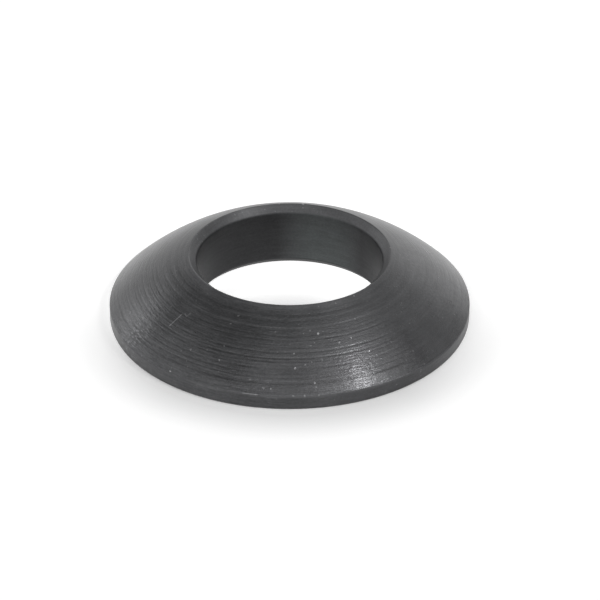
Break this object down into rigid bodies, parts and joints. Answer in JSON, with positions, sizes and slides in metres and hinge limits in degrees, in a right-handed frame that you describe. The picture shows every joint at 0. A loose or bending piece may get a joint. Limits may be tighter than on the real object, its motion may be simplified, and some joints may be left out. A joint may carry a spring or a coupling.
{
  "type": "spherical washer",
  "caption": "Turned black steel washer with a flat seat below, a convex spherical seat above and a chamfered bolt hole, letting a nut or bolt head settle square on work that is not parallel.",
  "frame": {"origin": "centre of the bolt hole on the flat seat, the face that the washer rests on", "axes": "+Z along the bolt's axis, from the flat seat towards the spherical seat; the washer is round, so X and Y are any two directions square to it"},
  "size_m": [0.021, 0.021, 0.0039],
  "materials": {
    "blackened_steel": "satin"
  },
  "bodies": {
    "root": {"spherical_washer": "blackened_steel"}
  },
  "joints": []
}
